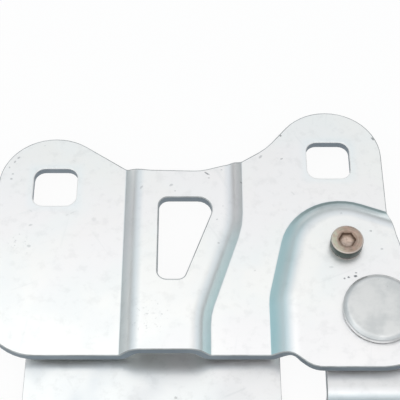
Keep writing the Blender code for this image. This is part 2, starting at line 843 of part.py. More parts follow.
def centre_on_origin(roots):
    """Move the part so that the middle of its box lies over the origin, with its foot at zero."""
    bpy.context.view_layer.update()
    solids = [o for o in bpy.data.objects if o.type == "MESH" and not o.hide_render]
    corners = np.array([o.matrix_world @ v.co for o in solids for v in o.data.vertices])
    low, high = corners.min(axis=0), corners.max(axis=0)
    shift = Vector(((low[0] + high[0]) / 2, (low[1] + high[1]) / 2, low[2]))
    for root in roots:
        root.location -= shift


def build():
    clear_scene()
    bonnet_plate()
    body_plate()
    pivot_rivet()
    bushes()
    tail_washer()
    stop_screw()
    stop_sleeve()
    stop_ring()
    stop_nut()
    rest_buffer()
    objects = bpy.data.objects
    body_names = ("body_plate", "front_bush", "rear_bush", "rest_buffer")
    body = [o for o in objects if o.name in body_names]
    bonnet = [o for o in objects if o.name not in body_names]
    centre_on_origin([group("bonnet_leaf", bonnet), group("body_leaf", body)])


build()
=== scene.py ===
import json
import math

import bmesh
import bpy
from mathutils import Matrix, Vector


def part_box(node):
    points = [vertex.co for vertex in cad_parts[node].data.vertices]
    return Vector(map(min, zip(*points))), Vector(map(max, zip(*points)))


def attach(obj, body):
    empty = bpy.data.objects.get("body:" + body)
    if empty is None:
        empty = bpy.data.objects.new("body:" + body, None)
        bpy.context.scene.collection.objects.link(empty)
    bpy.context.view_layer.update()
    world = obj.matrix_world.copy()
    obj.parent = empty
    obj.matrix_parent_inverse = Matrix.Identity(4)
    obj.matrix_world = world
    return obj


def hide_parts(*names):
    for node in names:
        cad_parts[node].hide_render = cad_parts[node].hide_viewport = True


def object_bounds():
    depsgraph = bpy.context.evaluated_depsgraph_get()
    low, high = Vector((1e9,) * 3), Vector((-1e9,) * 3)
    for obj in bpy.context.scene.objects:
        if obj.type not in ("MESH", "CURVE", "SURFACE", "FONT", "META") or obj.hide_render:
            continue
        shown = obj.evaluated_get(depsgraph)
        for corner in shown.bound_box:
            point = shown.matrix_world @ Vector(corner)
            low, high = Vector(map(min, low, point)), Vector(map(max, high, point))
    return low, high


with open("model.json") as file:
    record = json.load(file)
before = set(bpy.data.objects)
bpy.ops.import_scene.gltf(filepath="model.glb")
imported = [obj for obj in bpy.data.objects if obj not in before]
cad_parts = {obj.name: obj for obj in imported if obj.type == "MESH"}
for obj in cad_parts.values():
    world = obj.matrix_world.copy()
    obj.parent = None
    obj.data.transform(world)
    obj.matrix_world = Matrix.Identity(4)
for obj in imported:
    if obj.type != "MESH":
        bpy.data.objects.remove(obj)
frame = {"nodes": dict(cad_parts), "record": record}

mm = 0.001
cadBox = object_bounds()
print("frame loaded:", len(frame["nodes"]), "nodes")


# places in the frame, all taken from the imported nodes

def middleOf(node):
    low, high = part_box(node)
    return (low + high) / 2


pivotSpot = middleOf("pivot_rivet")
stopSpot = middleOf("stop_screw")
raised = 4.5 * mm           # how far the leaf's highest face stands above its ears
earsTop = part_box("bonnet_plate")[1].z - raised

# the photo was framed on a point of the ears' face, given here from the stop screw
view = {
    "fromStop": (-44.9 * mm, 19.1 * mm),
    "elevation": 58.0,
    "distance": 352 * mm,
    "lens": 99.0,
    "sensor": 36.0,
}

studio = {
    "floorSize": 4.0,
    "floorColour": (0.9, 0.9, 0.9),
    "floorShade": 0.08,         # how much of the shadow shows on the white floor
    "worldStrength": 1.0,
    # height of the sky from straight down (0) to straight up (1)
    "skyStops": (
        (0.00, (0.40, 0.40, 0.40)),
        (0.46, (0.41, 0.41, 0.405)),
        (0.575, (0.42, 0.425, 0.42)),
        (0.61, (0.45, 0.455, 0.455)),
        (0.66, (0.55, 0.57, 0.58)),
        (0.72, (0.64, 0.685, 0.71)),
        (0.82, (0.735, 0.795, 0.84)),
        (0.875, (0.765, 0.80, 0.825)),
        (0.903, (0.775, 0.785, 0.77)),
        (0.9116, (0.805, 0.81, 0.795)),
        (0.924, (0.895, 0.895, 0.875)),
        (0.931, (0.965, 0.965, 0.95)),
        (0.945, (1.03, 1.03, 1.02)),
        (0.962, (1.08, 1.08, 1.07)),
        (0.982, (0.70, 0.72, 0.73)),
        (1.00, (0.36, 0.38, 0.395)),
    ),
    "rightShade": 0.18,         # how much darker the low sky is on the pivot's side
    "rightLift": 0.05,          # how much brighter the high sky is there
    "leftBlue": (0.925, 0.955, 0.965),
}


def addObject(name, data):
    made = bpy.data.objects.new(name, data)
    bpy.context.scene.collection.objects.link(made)
    return made


# node helpers

def newTree(material):
    material.use_nodes = True
    tree = material.node_tree
    tree.nodes.clear()
    return tree


def addNode(tree, kind, **values):
    made = tree.nodes.new(kind)
    for key, value in values.items():
        setattr(made, key, value)
    return made


def link(tree, source, target):
    tree.links.new(source, target)


def feed(tree, socket, value):
    if isinstance(value, bpy.types.NodeSocket):
        link(tree, value, socket)
    else:
        socket.default_value = value


def math2(tree, operation, first, second=0.0, clamp=False):
    made = addNode(tree, "ShaderNodeMath", operation=operation, use_clamp=clamp)
    feed(tree, made.inputs[0], first)
    feed(tree, made.inputs[1], second)
    return made.outputs[0]


def spread(tree, value, low, high, toLow=0.0, toHigh=1.0, smooth=True):
    made = addNode(tree, "ShaderNodeMapRange")
    made.interpolation_type = "SMOOTHSTEP" if smooth else "LINEAR"
    feed(tree, made.inputs["Value"], value)
    feed(tree, made.inputs["From Min"], low)
    feed(tree, made.inputs["From Max"], high)
    feed(tree, made.inputs["To Min"], toLow)
    feed(tree, made.inputs["To Max"], toHigh)
    return made.outputs["Result"]


def vectorMath(tree, operation, first, second=(0.0, 0.0, 0.0)):
    made = addNode(tree, "ShaderNodeVectorMath", operation=operation)
    feed(tree, made.inputs[0], first)
    feed(tree, made.inputs[1], second)
    return made.outputs["Value" if operation in ("DISTANCE", "LENGTH", "DOT_PRODUCT") else "Vector"]


def axes(tree, source):
    made = addNode(tree, "ShaderNodeSeparateXYZ")
    link(tree, source, made.inputs[0])
    return made.outputs


def mixColour(tree, factor, first, second):
    made = addNode(tree, "ShaderNodeMix", data_type="RGBA")
    feed(tree, made.inputs[0], factor)
    for socket, value in ((made.inputs[6], first), (made.inputs[7], second)):
        feed(tree, socket, value if isinstance(value, bpy.types.NodeSocket) else (*value, 1.0))
    return made.outputs[2]


def noiseAt(tree, coordinate, scale, detail=3.0, roughness=0.5, stretch=None, turn=0.0):
    if stretch:
        mapping = addNode(tree, "ShaderNodeMapping", vector_type="TEXTURE")
        link(tree, coordinate, mapping.inputs["Vector"])
        mapping.inputs["Rotation"].default_value = (0, 0, math.radians(turn))
        mapping.inputs["Scale"].default_value = stretch
        coordinate = mapping.outputs[0]
    made = addNode(tree, "ShaderNodeTexNoise")
    link(tree, coordinate, made.inputs["Vector"])
    feed(tree, made.inputs["Scale"], scale)
    made.inputs["Detail"].default_value = detail
    made.inputs["Roughness"].default_value = roughness
    return made.outputs["Fac"]


vectorKind = "NodeSocketVector"
floatKind = "NodeSocketFloat"


def newGroup(name, inputs, outputs):
    group = bpy.data.node_groups.new(name, "ShaderNodeTree")
    for label, kind, value in inputs:
        socket = group.interface.new_socket(name=label, in_out="INPUT", socket_type=kind)
        if value is not None:
            socket.default_value = value
    for label, kind in outputs:
        group.interface.new_socket(name=label, in_out="OUTPUT", socket_type=kind)
    start = addNode(group, "NodeGroupInput")
    end = addNode(group, "NodeGroupOutput")
    return group, start.outputs, end.inputs


def place(tree, group, **values):
    made = addNode(tree, "ShaderNodeGroup", node_tree=group)
    for label, value in values.items():
        feed(tree, made.inputs[label], value)
    return made.outputs


# shared effects

def makeMottle():
    # soft clouds of the plating bath, and a finer grain on them
    group, given, out = newGroup(
        "platingMottle",
        [("Coordinate", vectorKind, None), ("Clouds", floatKind, 60.0), ("Grain", floatKind, 900.0)],
        [("Cloud", floatKind), ("Fine", floatKind)],
    )
    clouds = noiseAt(group, given["Coordinate"], given["Clouds"], 4.0, 0.55)
    link(group, spread(group, clouds, 0.36, 0.66), out["Cloud"])
    fine = noiseAt(group, given["Coordinate"], given["Grain"], 2.0, 0.6)
    link(group, spread(group, fine, 0.3, 0.7), out["Fine"])
    return group


def makeScratches():
    # long hairlines in two directions, broken up so that they start and stop
    group, given, out = newGroup(
        "hairScratches",
        [("Coordinate", vectorKind, None), ("Scale", floatKind, 420.0), ("Amount", floatKind, 0.5)],
        [("Mask", floatKind)],
    )
    total = None
    for turn, length in ((23.0, 28.0), (-58.0, 22.0), (81.0, 34.0)):
        lines = noiseAt(group, given["Coordinate"], given["Scale"], 1.0, 0.4, (length, 1.0, 1.0), turn)
        hair = spread(group, lines, 0.70, 0.76)
        breaks = noiseAt(group, given["Coordinate"], 55.0 + turn * 0.2, 2.0, 0.5)
        part = math2(group, "MULTIPLY", hair, spread(group, breaks, 0.52, 0.60))
        total = part if total is None else math2(group, "MAXIMUM", total, part)
    link(group, math2(group, "MULTIPLY", total, given["Amount"], True), out["Mask"])
    return group


def makeSpecks():
    # small dark pits and grains of dirt, in loose clusters
    group, given, out = newGroup(
        "darkSpecks",
        [("Coordinate", vectorKind, None), ("Scale", floatKind, 420.0), ("Size", floatKind, 0.16),
         ("Share", floatKind, 0.6)],
        [("Mask", floatKind)],
    )
    cells = addNode(group, "ShaderNodeTexVoronoi", feature="F1")
    link(group, given["Coordinate"], cells.inputs["Vector"])
    link(group, given["Scale"], cells.inputs["Scale"])
    core = math2(group, "MULTIPLY", given["Size"], 0.3)
    dots = spread(group, cells.outputs["Distance"], given["Size"], core)
    chosen = math2(group, "GREATER_THAN", cells.outputs["Color"], given["Share"])
    cluster = spread(group, noiseAt(group, given["Coordinate"], 75.0, 2.0), 0.50, 0.62)
    picked = math2(group, "MULTIPLY", dots, chosen)
    link(group, math2(group, "MULTIPLY", picked, cluster), out["Mask"])
    return group


def makeRubbedSpot():
    # a handled patch: the mask is full at Centre and gone at Radius, with a ragged edge
    group, given, out = newGroup(
        "rubbedSpot",
        [("Coordinate", vectorKind, None), ("Centre", vectorKind, None), ("Radius", floatKind, 0.004),
         ("Grain", floatKind, 1200.0), ("Cover", floatKind, 0.5)],
        [("Mask", floatKind)],
    )
    away = vectorMath(group, "DISTANCE", given["Coordinate"], given["Centre"])
    near = spread(group, math2(group, "DIVIDE", away, given["Radius"]), 1.0, 0.0)
    ragged = noiseAt(group, given["Coordinate"], given["Grain"], 3.0, 0.65)
    level = math2(group, "SUBTRACT", 1.0, math2(group, "MULTIPLY", given["Cover"], near))
    worn = spread(group, ragged, math2(group, "MULTIPLY", level, 0.62), math2(group, "MULTIPLY", level, 0.8))
    link(group, math2(group, "MULTIPLY", worn, spread(group, near, 0.0, 0.3)), out["Mask"])
    return group


def makeCutEdge():
    # the sheared rim of a sheet: faces that stand upright, with the shear's vertical drag marks
    group, given, out = newGroup(
        "shearedRim",
        [("Coordinate", vectorKind, None), ("Normal", vectorKind, None)],
        [("Mask", floatKind), ("Drag", floatKind)],
    )
    parts = axes(group, given["Normal"])
    upright = math2(group, "ABSOLUTE", parts["Z"])
    link(group, spread(group, upright, 0.55, 0.25), out["Mask"])
    drag = noiseAt(group, given["Coordinate"], 1500.0, 2.0, 0.6, (1.0, 1.0, 12.0))
    link(group, drag, out["Drag"])
    return group


def makeWallTintAndCreaseShade():
    # stretched plating on slanted walls: Tint is partly the plating's own blue and partly painted shade, the
    # walls' darker reflection, and grows with the distance along Run; the crease output is painted shade at
    # the foot of a wall, most of it where the wall faces the bonnet
    group, given, out = newGroup(
        "wallTintAndCreaseShade",
        [("Coordinate", vectorKind, None), ("Normal", vectorKind, None), ("Run", vectorKind, None),
         ("Start", floatKind, 0.0), ("End", floatKind, 0.03), ("Least", floatKind, 0.1),
         ("Foot", floatKind, 0.0), ("Rise", floatKind, 0.002)],
        [("Tint", floatKind), ("CreaseShade", floatKind)],
    )
    slope = axes(group, given["Normal"])
    slanted = spread(group, math2(group, "ABSOLUTE", slope["Z"]), 0.985, 0.84)
    along = vectorMath(group, "DOT_PRODUCT", given["Coordinate"], given["Run"])
    weight = spread(group, along, given["Start"], given["End"], given["Least"], 1.0)
    uneven = noiseAt(group, given["Coordinate"], 90.0, 2.0)
    weight = math2(group, "MULTIPLY", weight, spread(group, uneven, 0.2, 0.7, 0.8, 1.0))
    spot = axes(group, given["Coordinate"])
    above = math2(group, "DIVIDE", math2(group, "SUBTRACT", spot["Z"], given["Foot"]), given["Rise"])
    weight = math2(group, "MULTIPLY", weight, spread(group, above, 0.4, 2.0, 1.0, 0.45))
    facing = spread(group, slope["Y"], 0.2, 0.6)
    turnedAway = math2(group, "SUBTRACT", 1.0, math2(group, "MULTIPLY", facing, 0.5))
    weight = math2(group, "MULTIPLY", weight, turnedAway)
    weight = math2(group, "MULTIPLY", weight, spread(group, slope["Z"], -0.3, 0.3, 0.3, 1.0))
    link(group, math2(group, "MULTIPLY", slanted, weight, True), out["Tint"])
    # painted shade: the crease output darkens slanted walls near their foot, most where they face the bonnet
    low = spread(group, above, 1.2, 0.5)
    far = math2(group, "MULTIPLY", spread(group, above, 2.4, 0.2), 0.35)
    dirtAndShade = math2(group, "MULTIPLY", facing, math2(group, "MAXIMUM", low, far))
    dirtAndShade = math2(group, "MAXIMUM", dirtAndShade, math2(group, "MULTIPLY", spread(group, above, 2.2, 0.0), 0.24))
    sloping = spread(group, math2(group, "ABSOLUTE", slope["Z"]), 0.995, 0.93)
    link(group, math2(group, "MULTIPLY", sloping, dirtAndShade, True), out["CreaseShade"])
    return group


def makePunchHalo():
    # a faint band of tint round a square hole, from its edge outwards
    group, given, out = newGroup(
        "punchHalo",
        [("Coordinate", vectorKind, None), ("Centre", vectorKind, None),
         ("Half", floatKind, 0.007), ("Reach", floatKind, 0.003)],
        [("Mask", floatKind)],
    )
    away = vectorMath(group, "SUBTRACT", given["Coordinate"], given["Centre"])
    parts = axes(group, away)
    across = math2(group, "ABSOLUTE", parts["X"])
    up = math2(group, "ABSOLUTE", parts["Y"])
    farther = addNode(group, "ShaderNodeMath", operation="SMOOTH_MAX")
    link(group, across, farther.inputs[0])
    link(group, up, farther.inputs[1])
    farther.inputs[2].default_value = 0.004
    beyond = math2(group, "SUBTRACT", farther.outputs[0], given["Half"])
    link(group, spread(group, beyond, given["Reach"], 0.0), out["Mask"])
    return group


def makeSmallMark():
    # one knock or grain of dirt: an oval with a ragged edge, Length along Turn
    group, given, out = newGroup(
        "smallMark",
        [("Coordinate", vectorKind, None), ("Centre", vectorKind, None),
         ("Length", floatKind, 0.0005), ("Width", floatKind, 0.0003), ("Turn", floatKind, 0.0),
         ("Strength", floatKind, 0.5)],
        [("Mask", floatKind)],
    )
    away = vectorMath(group, "SUBTRACT", given["Coordinate"], given["Centre"])
    turned = addNode(group, "ShaderNodeVectorRotate", rotation_type="Z_AXIS")
    link(group, away, turned.inputs["Vector"])
    link(group, math2(group, "MULTIPLY", given["Turn"], -math.pi / 180), turned.inputs["Angle"])
    size = addNode(group, "ShaderNodeCombineXYZ")
    link(group, given["Length"], size.inputs["X"])
    link(group, given["Width"], size.inputs["Y"])
    size.inputs["Z"].default_value = 1.0
    scaled = vectorMath(group, "DIVIDE", turned.outputs[0], size.outputs[0])
    reach = vectorMath(group, "LENGTH", scaled)
    ragged = noiseAt(group, given["Coordinate"], 2600.0, 2.0, 0.6)
    edge = math2(group, "ADD", reach, math2(group, "MULTIPLY", ragged, 0.9))
    link(group, math2(group, "MULTIPLY", spread(group, edge, 1.5, 0.95), given["Strength"]), out["Mask"])
    return group


def makeArcScratch():
    # a round scuff, broken up, where a washer or a socket turned on the plate
    group, given, out = newGroup(
        "arcScratch",
        [("Coordinate", vectorKind, None), ("Centre", vectorKind, None),
         ("Radius", floatKind, 0.004), ("Width", floatKind, 0.0003), ("Gaps", floatKind, 0.5)],
        [("Mask", floatKind)],
    )
    away = vectorMath(group, "SUBTRACT", given["Coordinate"], given["Centre"])
    flat = vectorMath(group, "MULTIPLY", away, (1, 1, 0))
    reach = vectorMath(group, "LENGTH", flat)
    off = math2(group, "ABSOLUTE", math2(group, "SUBTRACT", reach, given["Radius"]))
    line = spread(group, math2(group, "DIVIDE", off, given["Width"]), 1.0, 0.3)
    breaks = noiseAt(group, given["Coordinate"], 260.0, 2.0, 0.6)
    kept = spread(group, breaks, given["Gaps"], math2(group, "ADD", given["Gaps"], 0.06))
    link(group, math2(group, "MULTIPLY", line, kept), out["Mask"])
    return group


def makeTurned():
    # the fine rings that a lathe or a die leaves about an upright axis
    group, given, out = newGroup(
        "turnedRings",
        [("Coordinate", vectorKind, None), ("Axis", vectorKind, None), ("Pitch", floatKind, 0.00025)],
        [("Height", floatKind), ("Uneven", floatKind)],
    )
    offset = vectorMath(group, "SUBTRACT", given["Coordinate"], given["Axis"])
    flat = vectorMath(group, "MULTIPLY", offset, (1, 1, 0))
    reach = vectorMath(group, "LENGTH", flat)
    wobble = noiseAt(group, given["Coordinate"], 350.0, 2.0)
    turns = math2(group, "DIVIDE", reach, given["Pitch"])
    turns = math2(group, "ADD", turns, wobble)
    wave = math2(group, "SINE", math2(group, "MULTIPLY", turns, 2 * math.pi))
    link(group, spread(group, wave, -1.0, 1.0), out["Height"])
    link(group, wobble, out["Uneven"])
    return group


mottle = makeMottle()
scratches = makeScratches()
specks = makeSpecks()
rubbedSpot = makeRubbedSpot()
cutEdge = makeCutEdge()
wallTintAndCreaseShade = makeWallTintAndCreaseShade()
punchHalo = makePunchHalo()
smallMark = makeSmallMark()
arcScratch = makeArcScratch()
turnedRings = makeTurned()
print("shared effects ready")


# materials

def startMaterial(name):
    material = bpy.data.materials.new(name)
    tree = newTree(material)
    shader = addNode(tree, "ShaderNodeBsdfPrincipled")
    output = addNode(tree, "ShaderNodeOutputMaterial")
    link(tree, shader.outputs[0], output.inputs["Surface"])
    where = addNode(tree, "ShaderNodeTexCoord")
    return material, tree, shader, where.outputs


def addBump(tree, shader, height, strength, distance):
    bump = addNode(tree, "ShaderNodeBump")
    bump.inputs["Strength"].default_value = strength
    bump.inputs["Distance"].default_value = distance
    link(tree, height, bump.inputs["Height"])
    link(tree, bump.outputs[0], shader.inputs["Normal"])


bonnetZinc = {
    "bright": (0.945, 0.945, 0.935),
    "cool": (0.92, 0.932, 0.93),
    "warm": (0.945, 0.93, 0.935),
    # the wall tint colour is partly the plating's own blue, partly painted shade; the crease colour is
    # painted shade
    "wallTintAndShade": (0.585, 0.86, 0.90),
    "crease": (0.22, 0.315, 0.315),
    "halo": (0.81, 0.90, 0.94),
    "rim": (0.235, 0.275, 0.31),
    "edge": (0.56, 0.58, 0.58),
    "scratch": (0.72, 0.74, 0.75),
    "dirtAndShade": (0.25, 0.26, 0.27),
    "metallic": 0.92,
    "roughness": (0.29, 0.37),
    "scratchAmount": 0.16,
    "stained": 0.075,           # how much the thin stains of the plating darken it
    "speckShare": 0.93,
    # start and end of the blue tint, in mm along its run, and its least share
    "tintRun": (11.0, 38.0, 0.04),
    "foot": earsTop,
    # from here on, places are given from the middle of the stop screw
    "holes": ((-91.62, 24.13, 7.05), (-2.92, 34.53, 7.05)),
    "rubbedAndHighlight": ((-101.0, 3.0, 6.0, 0.14), (-60.0, -24.0, 9.0, 0.12)),
    "arcs": ((-18.3, 19.2, 4.1, 0.3, 0.54), (-91.6, 24.1, 11.5, 0.25, 0.62)),
    # x, y, length, width, turn, strength
    "marks": (
        (-104.3, 35.4, 0.70, 0.45, 40, 0.50), (-105.4, 33.8, 0.60, 0.40, 60, 0.45),
        (-105.7, 29.1, 0.50, 0.40, 0, 0.40), (-106.0, 27.2, 0.55, 0.45, 0, 0.45),
        (-107.0, 31.6, 0.45, 0.30, 70, 0.40), (-96.1, 40.2, 0.40, 0.20, 10, 0.25),
        (-54.1, 21.9, 0.80, 0.50, 30, 0.35), (-52.8, 19.7, 0.35, 0.30, 0, 0.30),
        (-63.5, 21.2, 0.90, 0.50, 50, 0.30), (-78.5, 11.9, 1.00, 0.80, 0, 0.12),
        (-98.4, 9.8, 0.80, 0.40, 20, 0.30), (-98.3, 2.2, 0.80, 0.60, 0, 0.30),
        (-18.2, 44.3, 0.50, 0.50, 0, 0.75), (-25.1, 35.8, 1.00, 0.50, 50, 0.40),
        (-18.2, 35.0, 0.60, 0.32, 20, 0.50), (-42.7, 26.3, 1.20, 0.35, -35, 0.75),
        (-42.1, 24.6, 0.50, 0.30, 0, 0.40), (-38.0, 27.7, 0.40, 0.30, 0, 0.35),
        (-31.6, 25.5, 0.40, 0.30, 0, 0.50), (-39.2, 0.9, 0.50, 0.40, 0, 0.30),
        (-39.6, 9.2, 0.40, 0.35, 0, 0.30), (-37.7, 14.1, 0.40, 0.20, 0, 0.25),
        (-28.0, -6.5, 0.40, 0.30, 0, 0.20), (12.4, 43.0, 0.85, 0.55, -50, 0.75),
        (8.0, 5.0, 0.50, 0.40, 0, 0.45), (10.9, -1.4, 0.50, 0.40, 0, 0.35),
        (-5.0, -7.7, 0.90, 0.40, 0, 0.20), (-0.7, 11.5, 0.50, 0.50, 0, 0.18),
        (2.1, -10.8, 0.62, 0.55, 0, 0.95), (0.0, -11.2, 0.45, 0.40, 0, 0.90),
        (-1.3, -11.6, 0.38, 0.34, 0, 0.80), (2.3, -9.7, 0.50, 0.28, 0, 0.60),
    ),
}

bodyZinc = {
    "bright": (0.84, 0.855, 0.855),
    "cool": (0.79, 0.82, 0.84),
    "warm": (0.83, 0.825, 0.83),
    # the wall tint colour is partly the plating's own blue, partly painted shade; the crease colour is
    # painted shade
    "wallTintAndShade": (0.66, 0.78, 0.81),
    "crease": (0.34, 0.37, 0.37),
    "halo": (0.74, 0.80, 0.84),
    "rim": (0.24, 0.27, 0.29),
    "edge": (0.42, 0.435, 0.44),
    "scratch": (0.62, 0.64, 0.65),
    "dirtAndShade": (0.22, 0.22, 0.22),
    "metallic": 0.92,
    "roughness": (0.30, 0.40),
    "scratchAmount": 0.25,
    "stained": 0.09,
    "speckShare": 0.9,
    "tintRun": (-60.0, 140.0, 0.3),
    "foot": 3.0 * mm,
    "holes": (),
    "rubbedAndHighlight": ((-71.0, -63.4, 12.0, 0.22), (1.1, -63.4, 12.0, 0.22), (-35.0, -58.0, 9.0, 0.2)),
    "arcs": ((-70.9, -63.4, 9.2, 0.35, 0.46), (1.1, -63.4, 9.2, 0.35, 0.46)),
    "marks": (
        (-88.0, -52.0, 0.9, 0.4, 30, 0.4), (-52.0, -46.0, 0.6, 0.5, 0, 0.35),
        (-30.0, -72.0, 1.4, 0.3, 12, 0.4), (20.0, -66.0, 0.5, 0.4, 0, 0.5),
        (-80.0, -74.0, 0.5, 0.35, 0, 0.4), (-12.0, -58.0, 0.7, 0.4, 70, 0.3),
    ),
}


# what the plating of both leaves has in common: scales per metre, shares, and lengths in mm
plating = {
    "clouds": 55.0,
    "grain": 1400.0,
    "drift": 24.0,
    "stain": 260.0,
    "scratch": 480.0,
    "speck": 420.0,
    "speckSize": 0.17,
    "speckDepth": 0.4,
    "tintFrom": (-44.9, 19.1),  # where the tint's run is measured from, and its direction
    "tintAlong": (1.0, -0.45, 0.0),
    "wallRise": 1.6,
    # strength of the painted crease shade
    "creaseDepth": 0.85,
    "haloReach": 3.2,
    "haloDepth": 0.3,
    "rubbedGrain": 900.0,
    "rubbedDepth": 0.3,
    "arcDepth": 0.14,
    "rimRough": 0.2,
    "wornRough": 0.25,
    "bump": (0.3, 0.03),        # strength and height
}


def onLeaf(x, y):
    return (stopSpot.x + x * mm, stopSpot.y + y * mm, earsTop)


def flatDistance(tree, spot):
    # the same place at the height of the ears' face, so that marks on raised ground keep their size
    parts = axes(tree, spot)
    level = addNode(tree, "ShaderNodeCombineXYZ")
    link(tree, parts["X"], level.inputs["X"])
    link(tree, parts["Y"], level.inputs["Y"])
    level.inputs["Z"].default_value = earsTop
    return level.outputs[0]


def zincMaterial(name, look):
    material, tree, shader, where = startMaterial(name)
    spot = where["Object"]
    flat = flatDistance(tree, spot)
    clouds = place(tree, mottle, Coordinate=spot, Clouds=plating["clouds"], Grain=plating["grain"])
    drift = noiseAt(tree, spot, plating["drift"], 2.0, 0.5)
    rim = place(tree, cutEdge, Coordinate=spot, Normal=where["Normal"])
    hair = place(tree, scratches, Coordinate=spot, Scale=plating["scratch"], Amount=look["scratchAmount"])
    pits = place(
        tree, specks, Coordinate=spot, Scale=plating["speck"], Size=plating["speckSize"],
        Share=look["speckShare"],
    )
    start, end, least = look["tintRun"]
    run = plating["tintAlong"]
    origin = run[0] * onLeaf(*plating["tintFrom"])[0] + run[1] * onLeaf(*plating["tintFrom"])[1]
    wallTintAndShade = place(
        tree, wallTintAndCreaseShade, Coordinate=spot, Normal=where["Normal"], Run=run, Start=origin + start * mm,
        End=origin + end * mm, Least=least, Foot=look["foot"], Rise=plating["wallRise"] * mm,
    )
    colour = mixColour(tree, clouds["Cloud"], look["bright"], look["cool"])
    colour = mixColour(tree, spread(tree, drift, 0.45, 0.62), colour, look["warm"])
    stain = noiseAt(tree, spot, plating["stain"], 4.0, 0.65)
    colour = mixColour(tree, spread(tree, stain, 0.5, 0.68, 0.0, look["stained"]), colour, look["dirtAndShade"])
    for x, y, half in look["holes"]:
        halo = place(
            tree, punchHalo, Coordinate=spot, Centre=onLeaf(x, y), Half=half * mm,
            Reach=plating["haloReach"] * mm,
        )
        share = math2(tree, "MULTIPLY", halo["Mask"], plating["haloDepth"])
        colour = mixColour(tree, share, colour, look["halo"])
    # the walls' blue, partly the plating's own and partly painted shade
    colour = mixColour(tree, wallTintAndShade["Tint"], colour, look["wallTintAndShade"])
    # painted shade at the foot of the walls
    crease = math2(tree, "MULTIPLY", wallTintAndShade["CreaseShade"], plating["creaseDepth"])
    colour = mixColour(tree, crease, colour, look["crease"])
    colour = mixColour(tree, hair["Mask"], colour, look["scratch"])
    worn = 0.0
    for x, y, radius, cover in look["rubbedAndHighlight"]:
        patch = place(
            tree, rubbedSpot, Coordinate=flat, Centre=onLeaf(x, y), Radius=radius * mm,
            Grain=plating["rubbedGrain"], Cover=cover,
        )
        worn = math2(tree, "MAXIMUM", worn, math2(tree, "MULTIPLY", patch["Mask"], plating["rubbedDepth"]))
    for x, y, radius, width, gaps in look["arcs"]:
        arc = place(
            tree, arcScratch, Coordinate=flat, Centre=onLeaf(x, y), Radius=radius * mm, Width=width * mm,
            Gaps=gaps,
        )
        worn = math2(tree, "MAXIMUM", worn, math2(tree, "MULTIPLY", arc["Mask"], plating["arcDepth"]))
    for x, y, length, width, turn, strength in look["marks"]:
        mark = place(
            tree, smallMark, Coordinate=flat, Centre=onLeaf(x, y), Length=length * mm, Width=width * mm,
            Turn=float(turn), Strength=strength,
        )
        worn = math2(tree, "MAXIMUM", worn, mark["Mask"])
    dotted = math2(tree, "MULTIPLY", pits["Mask"], plating["speckDepth"])
    colour = mixColour(tree, dotted, colour, look["dirtAndShade"])
    colour = mixColour(tree, worn, colour, look["dirtAndShade"])
    colour = mixColour(tree, rim["Mask"], colour, look["rim"])
    link(tree, colour, shader.inputs["Base Color"])
    low, high = look["roughness"]
    rough = spread(tree, clouds["Cloud"], 0.0, 1.0, low, high)
    rough = math2(tree, "ADD", rough, math2(tree, "MULTIPLY", rim["Mask"], plating["rimRough"]))
    rough = math2(tree, "ADD", rough, math2(tree, "MULTIPLY", worn, plating["wornRough"]))
    link(tree, rough, shader.inputs["Roughness"])
    shader.inputs["Metallic"].default_value = look["metallic"]
    height = math2(tree, "MULTIPLY", clouds["Fine"], 0.25)
    height = math2(tree, "SUBTRACT", height, math2(tree, "MULTIPLY", worn, 0.4))
    drag = math2(tree, "MULTIPLY", rim["Drag"], math2(tree, "MULTIPLY", rim["Mask"], 2.0))
    strength, distance = plating["bump"]
    addBump(tree, shader, math2(tree, "ADD", height, drag), strength, distance * mm)
    return material


def edgeMaterial(name, look):
    # the broken edge between a face and its sheared rim
    material, tree, shader, where = startMaterial(name)
    clouds = place(tree, mottle, Coordinate=where["Object"], Clouds=160.0, Grain=2400.0)
    dull = tuple(0.72 * c for c in look["edge"])
    colour = mixColour(tree, clouds["Cloud"], look["edge"], dull)
    # the bolt holes were punched clean, so their edges stay bright
    for x, y, half in look["holes"]:
        away = vectorMath(tree, "DISTANCE", where["Object"], onLeaf(x, y))
        near = spread(tree, away, 1.7 * half * mm, 1.6 * half * mm)
        colour = mixColour(tree, near, colour, look["bright"])
    link(tree, colour, shader.inputs["Base Color"])
    link(tree, spread(tree, clouds["Fine"], 0.0, 1.0, 0.5, 0.62), shader.inputs["Roughness"])
    shader.inputs["Metallic"].default_value = 0.6
    shader.inputs["Specular IOR Level"].default_value = 0.2
    addBump(tree, shader, clouds["Fine"], 0.3, 0.02 * mm)
    return material


# pitch is the distance of the turned rings, in mm
rivetSteel = {
    "face": (0.76, 0.76, 0.755), "dull": (0.60, 0.61, 0.61),
    "metallic": 0.85, "roughness": (0.34, 0.46), "pitch": 0.35,
}

washerZinc = {
    "face": (0.76, 0.78, 0.78), "dull": (0.62, 0.64, 0.65),
    "metallic": 0.9, "roughness": (0.3, 0.42), "pitch": 0.3,
}

bushBronze = {
    "face": (0.60, 0.44, 0.25), "dull": (0.40, 0.29, 0.17),
    "metallic": 0.9, "roughness": (0.36, 0.5), "pitch": 0.22,
}


